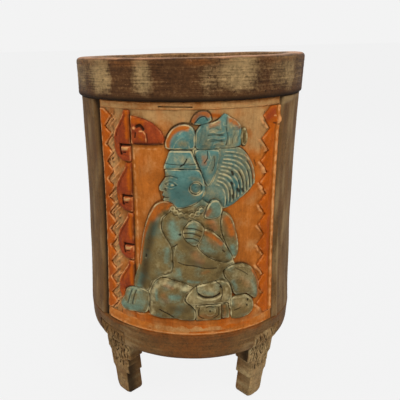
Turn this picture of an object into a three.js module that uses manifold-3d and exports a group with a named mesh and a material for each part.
// A tripod cylinder vessel of fired clay with a carved and painted panel on its front.
// Millimetres, +Z up. The origin is on the surface that the feet stand on, under the middle
// of the vessel, and the carved panel faces -Y. An angle is measured from -Y towards +X.

import * as THREE from 'three';
import { mergeVertices } from 'three/addons/utils/BufferGeometryUtils.js';
import Module from 'manifold-3d';

const wasm = await Module();
wasm.setup();

// The gap that luted joints keep, and the fineness of round surfaces
const JOINT = 0.3;
const SEGMENTS = 54;
const ROWS = 4;
const CURVE_STEPS = 2;
const LIP_STEPS = 2;
const CORNER_STEPS = 3;
const BASE_STEPS = 5;

// Heights of the vessel, from the feet up
const FOOT_HEIGHT = 44.5;
const BASE_HEIGHT = 18.1;
const WALL_HEIGHT = 143.5;
const RIM_HEIGHT = 23.9;

// The wall, slightly drawn in at the middle of its height
const WAIST_RADIUS = 69.9;
const WALL_FLARE = 1.6;
const WALL_THICKNESS = 7.4;
const NECK_DEPTH = 2.9;
const RIM_LAP = 14;
const FLOOR_THICKNESS = 8.5;
const FLOOR_STEP = 3;

// The bands that overhang the wall
const RIM_OVERHANG = 1.5;
const RIM_FLARE = 0.8;
const RIM_EDGE = 2.4;
const BASE_OVERHANG = 0.15;
const BASE_TAPER = 0.6;
const BASE_STRAIGHT = 9.5;

// The slab feet, in three tiers that narrow towards the ground
const FOOT_ANGLES = { foot_left: -47.5, foot_right: 47.5, foot_rear: 180 };
const FOOT_LOW_TOP = 19;
const FOOT_MIDDLE_TOP = 32;
const FOOT_LOW_WIDTH = 15.5;
const FOOT_MIDDLE_WIDTH = 21;
const FOOT_TOP_WIDTH = 27;
const FOOT_THICKNESS = 12.5;
const FOOT_LEAN = 5.5;
const FOOT_TONGUE = 11.5;
const FOOT_CORNER = 3.5;

// The carved panel: its pocket in the wall, its ground and the height of the carving
const PANEL_ANGLE = 100.4;
const POCKET_DEPTH = 4.2;
const GROUND_DEPTH = 2.2;
const GROOVE = 0.4;

// The figure is drawn on a grid that is stretched over the panel: x from the panel's middle
// to the first number at its right edge, y from its foot to the second number at its top
const GRID = [61.5, 143.5];

// Sizes of the borders and ornaments
const CARVED_CORNER = 1.2;
const BORDER_TOP_WIDTH = 4.2;
const BORDER_BOTTOM_WIDTH = 6.6;
const BORDER_SIDE_WIDTH = 3;
const STRIP_WIDTH = 5.4;
const TOOTH_RISE = 0.6;
const LEFT_TEETH = 12;
const LEFT_TOOTH_LENGTH = 4.6;
const RIGHT_TEETH = 10;
const RIGHT_TOOTH_LENGTH = 6;
const STEP_COUNT = 4;
const SEAT_HEIGHT = 7.2;
const EAR_RADIUS = 3.6;
const FEATHER_COUNT = 10;
const FEATHER_WIDTH = 1.6;
const FIRST_FEATHER = { root: [24.6, 115], tip: [39.4, 96.4], bow: [4, 3] };
const LAST_FEATHER = { root: [16.6, 96.4], tip: [22, 84.4], bow: [2, 2] };
const BEAD_COUNT = 7;
const BEAD_RADIUS = 1.7;
const BEAD_ARC = { centre: [-0.6, 84.4], radii: [9.2, 6.6], from: 200, to: 332 };

const baseTop = FOOT_HEIGHT + BASE_HEIGHT;
const rimBottom = baseTop + WALL_HEIGHT;
const rimTop = rimBottom + RIM_HEIGHT;
const floorTop = FOOT_HEIGHT + FLOOR_THICKNESS;
const floorLedge = floorTop - FLOOR_STEP;
const innerRadius = WAIST_RADIUS - WALL_THICKNESS;
const neckRadius = WAIST_RADIUS - NECK_DEPTH;
const endRadius = WAIST_RADIUS + WALL_FLARE;
const radians = THREE.MathUtils.degToRad;
const mix = THREE.MathUtils.lerp;

// The outer radius of the wall at a height: a shallow parabola
function wallRadius(height) {
  const fromMiddle = (height - baseTop) / WALL_HEIGHT * 2 - 1;
  return WAIST_RADIUS + WALL_FLARE * Math.min(fromMiddle ** 2, 1);
}

// Solids and meshes

function toSolid(geometry) {
  geometry.deleteAttribute('normal');
  geometry.deleteAttribute('uv');
  const merged = mergeVertices(geometry, 1e-4);
  return new wasm.Manifold(new wasm.Mesh({
    numProp: 3,
    vertProperties: merged.attributes.position.array,
    triVerts: new Uint32Array(merged.index.array),
  }));
}

function toMesh(name, solid, material) {
  const { vertProperties, triVerts } = solid.getMesh();
  const geometry = new THREE.BufferGeometry();
  geometry.setAttribute('position', new THREE.BufferAttribute(vertProperties, 3));
  geometry.setIndex(new THREE.BufferAttribute(triVerts, 1));
  geometry.computeVertexNormals();
  const mesh = new THREE.Mesh(geometry, material);
  mesh.name = name;
  return mesh;
}

// A profile of [radius, height] points turned about the vessel's axis
function turned(profile) {
  const points = profile.map(([radius, height]) => new THREE.Vector2(radius, height));
  const onAxis = profile[0][0] === 0;
  if (!onAxis) points.push(points[0].clone());
  return toSolid(new THREE.LatheGeometry(points, SEGMENTS).rotateX(Math.PI / 2));
}

// Points of a quarter round from one profile direction to the next
function quarterRound(centre, radii, from, to, steps) {
  return Array.from({ length: steps + 1 }, (_, i) => {
    const angle = radians(mix(from, to, i / steps));
    return [centre[0] + radii[0] * Math.cos(angle), centre[1] + radii[1] * Math.sin(angle)];
  });
}

// A layer that follows the wall, between two distances from its outer surface
function wallLayer(inner, outer) {
  const heights = Array.from({ length: ROWS + 1 }, (_, i) => baseTop + WALL_HEIGHT * i / ROWS);
  const outside = heights.map((height) => [wallRadius(height) + outer, height]);
  const inside = heights.map((height) => [wallRadius(height) + inner, height]);
  return turned([...outside, ...inside.reverse()]);
}

// A prism whose outline of [angle, height] points is seen from the axis. Its slanting sides
// are twisted, so they have edges just inside and outside the wall to run true within it.
const PRISM_RADII = [0.25, 0.91, 1.06, 2.5].map((share) => share * WAIST_RADIUS);
function radialPrism(outline) {
  const flat = outline.map(([angle, height]) => new THREE.Vector2(angle, height));
  if (THREE.ShapeUtils.isClockWise(flat)) flat.reverse();
  const count = flat.length;
  const corners = PRISM_RADII.flatMap((radius) => flat.flatMap(
    ({ x, y }) => [radius * Math.sin(x), -radius * Math.cos(x), y]));
  const outermost = count * (PRISM_RADII.length - 1);
  const faces = THREE.ShapeUtils.triangulateShape(flat, []).flatMap(
    ([a, b, c]) => [a + outermost, b + outermost, c + outermost, a, c, b]);
  for (let start = 0; start < outermost; start += count) {
    for (let i = 0; i < count; i += 1) {
      const [here, next] = [start + i, start + (i + 1) % count];
      faces.push(here, next, next + count, here, next + count, here + count);
    }
  }
  const geometry = new THREE.BufferGeometry();
  geometry.setAttribute('position', new THREE.BufferAttribute(new Float32Array(corners), 3));
  geometry.setIndex(faces);
  return toSolid(geometry);
}

// Outlines on the panel, as lists of [x, y] points in millimetres

const panelEdge = radians(PANEL_ANGLE / 2) * WAIST_RADIUS - JOINT;
const panelHeight = WALL_HEIGHT - 2 * JOINT;
function fitted(points) {
  return points.map(([x, y]) => [x / GRID[0] * panelEdge, y / GRID[1] * panelHeight]);
}

// Straight sides, with each corner rounded by a short curve
function rounded(corners, radius) {
  return corners.flatMap((corner, i) => {
    const point = new THREE.Vector2(...corner);
    const ends = [corners.at(i - 1), corners[(i + 1) % corners.length]].map((other) => {
      const side = new THREE.Vector2(...other).sub(point);
      return side.clone().setLength(Math.min(radius, side.length() / 2.2)).add(point);
    });
    const curve = new THREE.QuadraticBezierCurve(ends[0], point, ends[1]);
    return curve.getPoints(CURVE_STEPS).map(({ x, y }) => [x, y]);
  });
}

// A closed curve through a few points of the grid
function smooth(points) {
  const places = fitted(points).map(([x, y]) => new THREE.Vector3(x, y, 0));
  const curve = new THREE.CatmullRomCurve3(places, true, 'centripetal');
  return curve.getPoints(points.length * CURVE_STEPS).slice(0, -1).map(({ x, y }) => [x, y]);
}

function circle(centre, radius, sides) {
  return Array.from({ length: sides }, (_, i) => {
    const angle = i / sides * Math.PI * 2;
    return [centre[0] + radius * Math.cos(angle), centre[1] + radius * Math.sin(angle)];
  });
}

function upright(left, right, low, high) {
  return [[left, low], [left, high], [right, high], [right, low]];
}

// The outline moved outwards by a distance, square to its sides
function grown(outline, distance) {
  const flat = outline.map(([x, y]) => new THREE.Vector2(x, y));
  if (THREE.ShapeUtils.isClockWise(flat)) flat.reverse();
  return flat.map((point, i) => {
    const before = point.clone().sub(flat.at(i - 1)).normalize();
    const after = flat[(i + 1) % flat.length].clone().sub(point).normalize();
    const normal = new THREE.Vector2(before.y + after.y, -before.x - after.x).normalize();
    const stretch = Math.max(normal.x * before.y - normal.y * before.x, 0.5);
    return point.clone().addScaledVector(normal, distance / stretch).toArray();
  });
}

// A band of even width along an open curve
function band(points, width) {
  const curve = new THREE.CatmullRomCurve3(points.map(([x, y]) => new THREE.Vector3(x, y, 0)));
  const steps = points.length * CURVE_STEPS;
  const side = (sign) => Array.from({ length: steps + 1 }, (_, i) => {
    const { x, y } = curve.getPoint(i / steps);
    const along = curve.getTangent(i / steps);
    return [x - along.y * sign * width / 2, y + along.x * sign * width / 2];
  });
  return [...side(1), ...side(-1).reverse()];
}

function onPanel(outline) {
  return outline.map(([x, y]) => [x / WAIST_RADIUS, baseTop + JOINT + y]);
}

// The drawing

const top = panelHeight - BORDER_TOP_WIDTH - GROOVE;
const bottom = BORDER_BOTTOM_WIDTH + GROOVE;
const stripInner = -panelEdge + STRIP_WIDTH + GROOVE;
const rightStripEdge = panelEdge - BORDER_SIDE_WIDTH - GROOVE;

// A toothed strip from an edge to a base line, with its teeth reaching on to their tips
function zigzag(side, base, tip, teeth) {
  const pitch = (top - bottom) / teeth;
  const points = [[side, bottom], [base, bottom]];
  for (let i = 0; i < teeth; i += 1) {
    points.push([tip, bottom + pitch * (i + TOOTH_RISE)]);
    if (i < teeth - 1) points.push([base, bottom + pitch * (i + 1)]);
  }
  points.push([base, top], [side, top]);
  return points;
}

// A feather sweeps out and down in one bow; the first lies outermost
function feather(index) {
  const share = index / (FEATHER_COUNT - 1);
  const [root, tip, bow] = ['root', 'tip', 'bow'].map((key) => FIRST_FEATHER[key].map(
    (value, axis) => mix(value, LAST_FEATHER[key][axis], share)));
  const middle = root.map((value, axis) => mix(value, tip[axis], 0.5) + bow[axis]);
  return band(fitted([root, middle, tip]), FEATHER_WIDTH);
}

const beads = fitted(Array.from({ length: BEAD_COUNT }, (_, i) => {
  const turn = radians(mix(BEAD_ARC.from, BEAD_ARC.to, i / (BEAD_COUNT - 1)));
  return [BEAD_ARC.centre[0] + BEAD_ARC.radii[0] * Math.cos(turn),
    BEAD_ARC.centre[1] + BEAD_ARC.radii[1] * Math.sin(turn)];
}));

// The column at the left is a row of stepped blocks over a low seat. A block's points have
// their x from the grid and their depth under the block's top as a share of the pitch.
const STEP_OUTLINE = [
  [-35.6, 0], [-40.4, 0], [-42, 0.19], [-45.5, 0.34], [-48.6, 0.45], [-48.8, 0.7],
  [-46.6, 0.88], [-42, 0.97], [-35.6, 0.97]];
const STEP_EYE = [[-44.6, 0.69], [-39.2, 0.69], [-39.2, 0.83], [-44.6, 0.83]];
const stepPitch = (top - bottom - SEAT_HEIGHT) / STEP_COUNT;
function onStep(points, index) {
  return points.map(([x, depth]) => [
    fitted([[x, 0]])[0][0], top - stepPitch * (index + depth)]);
}

const drawing = {
  raised_thumb: smooth([
    [9.4, 77], [11.4, 84], [14.6, 87.4], [18.4, 86], [20, 80.8], [18, 76.8], [13.4, 75.8]]),
  necklace: [band(beads, BEAD_RADIUS), ...beads.map((bead) => circle(bead, BEAD_RADIUS, 6))],
  bent_hand: smooth([
    [4.6, 59.4], [-0.5, 61.8], [-3.6, 67], [-1.6, 71.8], [2.6, 75.4], [9.2, 70.2]]),
  bent_forearm: smooth([
    [27.8, 48.8], [23.6, 47.4], [14, 50.8], [7.5, 55.8], [5.4, 59.4], [9.9, 69.8],
    [19, 63.6], [24.4, 55.6]]),
  bent_upper_arm: smooth([
    [20.8, 79.4], [25, 77.6], [28.6, 69], [31, 59], [31, 53], [28.3, 49.2], [24.6, 56],
    [21.2, 64], [19.6, 71]]),
  straight_hand: smooth([
    [-34.6, 28.4], [-41.5, 26], [-43.5, 20.4], [-46.8, 14.4], [-44, 10.9], [-36, 11.6],
    [-27, 12.8], [-24.8, 18.4], [-25.8, 27.4]]),
  straight_arm: smooth([
    [-8.6, 84.2], [-13.5, 86.6], [-19.5, 84.4], [-24, 78], [-27.5, 68.5], [-29.8, 57.5],
    [-31.3, 45.5], [-34.5, 36.5], [-35.2, 28.9], [-25.7, 28], [-22.5, 34.5], [-17, 39],
    [-10.3, 42], [-9.8, 50.5], [-10.4, 58], [-13.4, 63], [-16.3, 69], [-15.6, 76],
    [-10.6, 80.6]]),
  loincloth: smooth([
    [5.4, 33.6], [12, 34.8], [21.4, 36.4], [25.8, 32.4], [27, 26.8], [24.4, 22],
    [12, 21.4], [1.2, 21.2], [-1.6, 24], [0.4, 29]]),
  apron: rounded(fitted([[4.6, 10], [4.6, 20.6], [20.6, 20.6], [20.6, 9.8]]), CARVED_CORNER),
  apron_tail: rounded(fitted([
    [21.2, 9.8], [21.2, 20.4], [25.2, 20.6], [26.6, 14], [26.4, 9.6]]), CARVED_CORNER),
  sole: smooth([
    [27.4, 9.8], [27, 17], [26.8, 22.6], [30.5, 24.2], [36.5, 24], [41.2, 21.4],
    [44, 16.6], [43.2, 12], [38.5, 9]]),
  left_thigh: smooth([
    [-24.2, 12.2], [-24.4, 25], [-22, 33], [-16.5, 37.8], [-9.5, 36.8], [0, 34], [3.6, 31.8],
    [-0.6, 28.4], [-2.4, 23.6], [1, 20.4], [4.2, 16.4], [3.8, 10.8], [-8, 11.4]]),
  right_thigh: smooth([
    [21.8, 42], [27, 45], [33.5, 45.2], [40, 42.4], [45, 36], [47.6, 28], [47.2, 22],
    [44.6, 19.6], [38, 24.6], [30, 25.2], [27.4, 29], [26, 33.6], [23.2, 37]]),
  brow_band: rounded(fitted([
    [-10.8, 116.6], [1.6, 116.6], [5.8, 106], [-14.6, 106]]), CARVED_CORNER),
  ear_disc: circle(fitted([[4.2, 94.6]])[0], EAR_RADIUS, 12),
  headdress_flap: smooth([
    [3.6, 116.4], [10, 116.6], [17.6, 116.2], [17.2, 108], [14, 98.6], [11.4, 95.4],
    [8.8, 100], [6.8, 105.6]]),
  head: smooth([
    [-13.6, 105.4], [-13.4, 101], [-17.4, 95], [-16.9, 92.9], [-14.8, 92.2], [-15.6, 90.2],
    [-14.4, 88.9], [-15.1, 87.3], [-13.5, 86], [-14, 83.8], [-11.4, 82.4], [-4, 82.6],
    [4, 85.2], [9, 90], [9.4, 97], [6, 105.4], [-4, 105.5]]),
  crest_top: smooth([[1.4, 132.4], [4, 137], [8, 138.6], [11.4, 137.4], [12.8, 133.4], [7, 131]]),
  crest_front: smooth([
    [-13, 118], [-12.6, 123.4], [-9, 129], [-4, 131.4], [0.4, 131], [3.2, 128], [3.6, 122],
    [3, 117.8], [-5, 117.4]]),
  headdress_tassel: smooth([
    [31.6, 119], [31.2, 126.6], [32.8, 128.4], [34.8, 126], [35.4, 120.6], [33.8, 117.8]]),
  headdress: smooth([
    [4.4, 117.6], [4.4, 127.4], [8, 131.2], [13, 132], [17.4, 134], [20.6, 136.8],
    [23.6, 134.8], [27.4, 132.8], [30.4, 129.6], [30.8, 118.4], [18, 117.6]]),
  feather_fan: smooth([
    [18.7, 116], [24, 116.4], [30.4, 116.3], [36.4, 111.6], [40.6, 104.6], [42, 96],
    [38.4, 91], [32, 86.4], [26, 82.8], [20.9, 81.6], [18.4, 86.6], [15, 94.6], [18, 107]]),
  torso: smooth([
    [-16.6, 79.6], [-3, 77], [9, 77.4], [18.8, 77.4], [21, 66], [24, 50], [26.6, 45.8],
    [21, 41], [22.4, 37.2], [5.4, 34.2], [-9.2, 37.8], [-9.4, 50.5], [-9.8, 58.4],
    [-15.4, 69]]),
  glyph_beam: rounded(fitted([
    [-35, 136], [-27, 134.4], [-21, 132], [-16, 128], [-13.6, 123.4], [-14.4, 120],
    [-22, 119.2], [-35, 119]]), CARVED_CORNER),
  zigzag_left: zigzag(-panelEdge, stripInner, stripInner + LEFT_TOOTH_LENGTH, LEFT_TEETH),
  zigzag_right: zigzag(rightStripEdge, rightStripEdge - STRIP_WIDTH,
    rightStripEdge - STRIP_WIDTH - RIGHT_TOOTH_LENGTH, RIGHT_TEETH),
  border_top: upright(-panelEdge, panelEdge, top + GROOVE, panelHeight),
  border_bottom: upright(-panelEdge, panelEdge, 0, BORDER_BOTTOM_WIDTH),
  border_right: upright(panelEdge - BORDER_SIDE_WIDTH, panelEdge, bottom, top),
};
const stepIndexes = Array.from({ length: STEP_COUNT }, (_, i) => i);
stepIndexes.forEach((i) => {
  drawing[`step_block_${i + 1}`] = rounded(onStep(STEP_OUTLINE, i), CARVED_CORNER);
});

// How far each carved piece's surface stands from the wall's outer surface
const LOW = -1.2;
const MIDDLE = -0.6;
const FLUSH = 0;
const PROUD = 0.5;
const levels = {
  raised_thumb: PROUD, necklace: PROUD, bent_hand: PROUD, bent_forearm: FLUSH,
  bent_upper_arm: FLUSH, straight_hand: FLUSH, straight_arm: FLUSH, loincloth: PROUD,
  apron: MIDDLE, apron_tail: LOW, sole: MIDDLE, left_thigh: FLUSH, right_thigh: FLUSH,
  brow_band: PROUD, ear_disc: PROUD, headdress_flap: MIDDLE, head: FLUSH, crest_top: MIDDLE,
  crest_front: FLUSH, headdress_tassel: MIDDLE, headdress: MIDDLE, feather_fan: LOW,
  torso: MIDDLE, glyph_beam: MIDDLE, zigzag_left: MIDDLE, zigzag_right: MIDDLE,
  border_top: LOW, border_bottom: LOW, border_right: FLUSH,
};

// Materials

const clay = (color, roughness) => new THREE.MeshStandardMaterial({ color, roughness, metalness: 0 });
const paints = {
  burnished: clay(0x6b5540, 0.45),
  rim: clay(0x4f3a28, 0.4),
  bare: clay(0xb58562, 0.75),
  ground: clay(0xb07a45, 0.7),
  red: clay(0x8a3a1c, 0.6),
  orange: clay(0xb2611f, 0.65),
  blue: clay(0x5d7f7c, 0.75),
  olive: clay(0x7d7a58, 0.75),
};
const blueNodes = ['crest', 'headdress', 'brow', 'head', 'feather', 'ear', 'raised', 'straight_hand'];
function paintFor(name) {
  if (name.startsWith('step') || name.startsWith('glyph')) return paints.red;
  if (name.startsWith('zigzag')) return paints.orange;
  if (name.startsWith('border')) return paints.ground;
  return blueNodes.some((start) => name.startsWith(start)) ? paints.blue : paints.olive;
}

// The vessel's body

function makeWall() {
  const heights = Array.from({ length: ROWS + 1 }, (_, i) => baseTop + WALL_HEIGHT * i / ROWS);
  heights[0] += JOINT;
  heights[ROWS] -= JOINT;
  const shell = turned([
    [innerRadius, floorLedge + JOINT],
    [neckRadius, floorLedge + JOINT],
    [neckRadius, baseTop + JOINT],
    ...heights.map((height) => [wallRadius(height), height]),
    [neckRadius, rimBottom - JOINT],
    [neckRadius, rimBottom + RIM_LAP],
    [innerRadius, rimBottom + RIM_LAP],
  ]);
  const half = radians(PANEL_ANGLE / 2);
  const pocket = radialPrism([
    [-half, baseTop], [half, baseTop], [half, rimBottom], [-half, rimBottom]]);
  return shell.subtract(wallLayer(-POCKET_DEPTH, WALL_FLARE).intersect(pocket));
}

function makeRimBand() {
  const bottomRadius = endRadius + RIM_OVERHANG;
  const topRadius = bottomRadius + RIM_FLARE;
  const edgeRound = RIM_EDGE / 2;
  return turned([
    [neckRadius + JOINT, rimBottom],
    ...quarterRound([bottomRadius - edgeRound, rimBottom + edgeRound],
      [edgeRound, edgeRound], -90, 0, LIP_STEPS),
    ...quarterRound([topRadius - RIM_EDGE, rimTop - RIM_EDGE],
      [RIM_EDGE, RIM_EDGE], 0, 90, CORNER_STEPS),
    ...quarterRound([innerRadius + edgeRound, rimTop - edgeRound],
      [edgeRound, edgeRound], 90, 180, LIP_STEPS),
    [innerRadius, rimBottom + RIM_LAP + JOINT],
    [neckRadius + JOINT, rimBottom + RIM_LAP + JOINT],
  ]);
}

// The foot's outer face carries on the base band's outer surface
function footOutline(angle, grow) {
  const turn = radians(angle);
  const [low, middle, high] = [FOOT_LOW_WIDTH, FOOT_MIDDLE_WIDTH, FOOT_TOP_WIDTH].map(
    (width) => width / 2 + grow);
  const topEdge = FOOT_HEIGHT + FOOT_TONGUE + grow;
  const half = [
    ...quarterRound([low - FOOT_CORNER, FOOT_CORNER],
      [FOOT_CORNER, FOOT_CORNER], -90, 0, CORNER_STEPS),
    [low, FOOT_LOW_TOP], [middle, FOOT_LOW_TOP],
    [middle, FOOT_MIDDLE_TOP], [high, FOOT_MIDDLE_TOP], [high, topEdge],
  ];
  const mirrored = half.map(([x, y]) => [-x, y]).reverse();
  return [...half, ...mirrored].map(([x, y]) => [turn + x / WAIST_RADIUS, y]);
}

const baseRadius = endRadius + BASE_OVERHANG;
const baseLowRadius = baseRadius - BASE_TAPER;
const baseInner = neckRadius + JOINT;
function baseRounding() {
  const curveHeight = BASE_HEIGHT - BASE_STRAIGHT;
  const depth = baseLowRadius - baseInner - JOINT;
  return quarterRound([baseLowRadius - depth, FOOT_HEIGHT + curveHeight],
    [depth, curveHeight - JOINT], -90, 0, BASE_STEPS);
}

function makeBaseBand() {
  const ring = turned([
    ...baseRounding(),
    [baseRadius, baseTop - JOINT],
    [baseRadius - JOINT, baseTop],
    [baseInner, baseTop],
    [baseInner, FOOT_HEIGHT + JOINT],
  ]);
  return Object.values(FOOT_ANGLES).reduce(
    (rest, angle) => rest.subtract(radialPrism(footOutline(angle, JOINT))), ring);
}

// The wall stands on a ledge around the floor
function makeFloor() {
  return turned([
    [0, FOOT_HEIGHT], [neckRadius - JOINT, FOOT_HEIGHT], [neckRadius, FOOT_HEIGHT + JOINT],
    [neckRadius, floorLedge], [innerRadius - JOINT, floorLedge], [innerRadius - JOINT, floorTop],
    [0, floorTop],
  ]);
}

function makeFoot(angle) {
  const under = FOOT_HEIGHT - JOINT;
  const rounding = baseRounding();
  const soleRadius = rounding[0][0] - FOOT_LEAN;
  const slab = turned([
    [soleRadius, 0],
    ...rounding,
    [baseLowRadius + JOINT / 2, FOOT_HEIGHT + FOOT_TONGUE],
    [baseInner, FOOT_HEIGHT + FOOT_TONGUE],
    [baseInner, under],
    [rounding[0][0] - FOOT_THICKNESS, under],
    [soleRadius - FOOT_THICKNESS, 0],
  ]);
  return slab.intersect(radialPrism(footOutline(angle, 0)));
}

// The carved panel

const GROUND_LAYER = [-POCKET_DEPTH + JOINT, -GROUND_DEPTH];
const carvedFoot = -GROUND_DEPTH + JOINT;

function makeGround() {
  const outline = upright(-panelEdge, panelEdge, 0, panelHeight);
  return wallLayer(...GROUND_LAYER).intersect(radialPrism(onPanel(outline)));
}

// The prism of one outline, or of several that make one piece, grown on all sides
function panelPrism(outlines, distance = 0) {
  const list = typeof outlines[0][0] === 'number' ? [outlines] : outlines;
  return list.map((outline) => radialPrism(onPanel(grown(outline, distance)))).reduce(
    (all, prism) => all.add(prism));
}

// The clay that a piece is cut from: an even layer, or for the fan one with raised feathers
function makeBlank(name) {
  const blank = wallLayer(carvedFoot, levels[name] ?? MIDDLE);
  if (name !== 'feather_fan') return blank;
  const feathers = Array.from({ length: FEATHER_COUNT }, (_, i) => feather(i));
  const ridgeFoot = (LOW + carvedFoot) / 2;
  return blank.add(wallLayer(ridgeFoot, FLUSH).intersect(panelPrism(feathers)));
}

// Pieces earlier in the drawing lie over later ones, which are cut back by the groove
function makeCarvings() {
  const cutters = stepIndexes.map((i) => panelPrism(onStep(STEP_EYE, i)));
  return Object.entries(drawing).map(([name, outlines]) => {
    const prism = cutters.reduce((rest, cutter) => rest.subtract(cutter), panelPrism(outlines));
    cutters.push(panelPrism(outlines, GROOVE));
    return toMesh(name, makeBlank(name).intersect(prism), paintFor(name));
  });
}

const vessel = new THREE.Group();
vessel.name = 'tripod_cylinder_vessel';
vessel.add(toMesh('floor_disc', makeFloor(), paints.bare));
vessel.add(toMesh('wall', makeWall(), paints.burnished));
vessel.add(toMesh('base_band', makeBaseBand(), paints.burnished));
vessel.add(toMesh('rim_band', makeRimBand(), paints.rim));
Object.entries(FOOT_ANGLES).forEach(([name, angle]) => {
  vessel.add(toMesh(name, makeFoot(angle), paints.burnished));
});
vessel.add(toMesh('panel_ground', makeGround(), paints.ground));
makeCarvings().forEach((mesh) => vessel.add(mesh));

export default vessel;
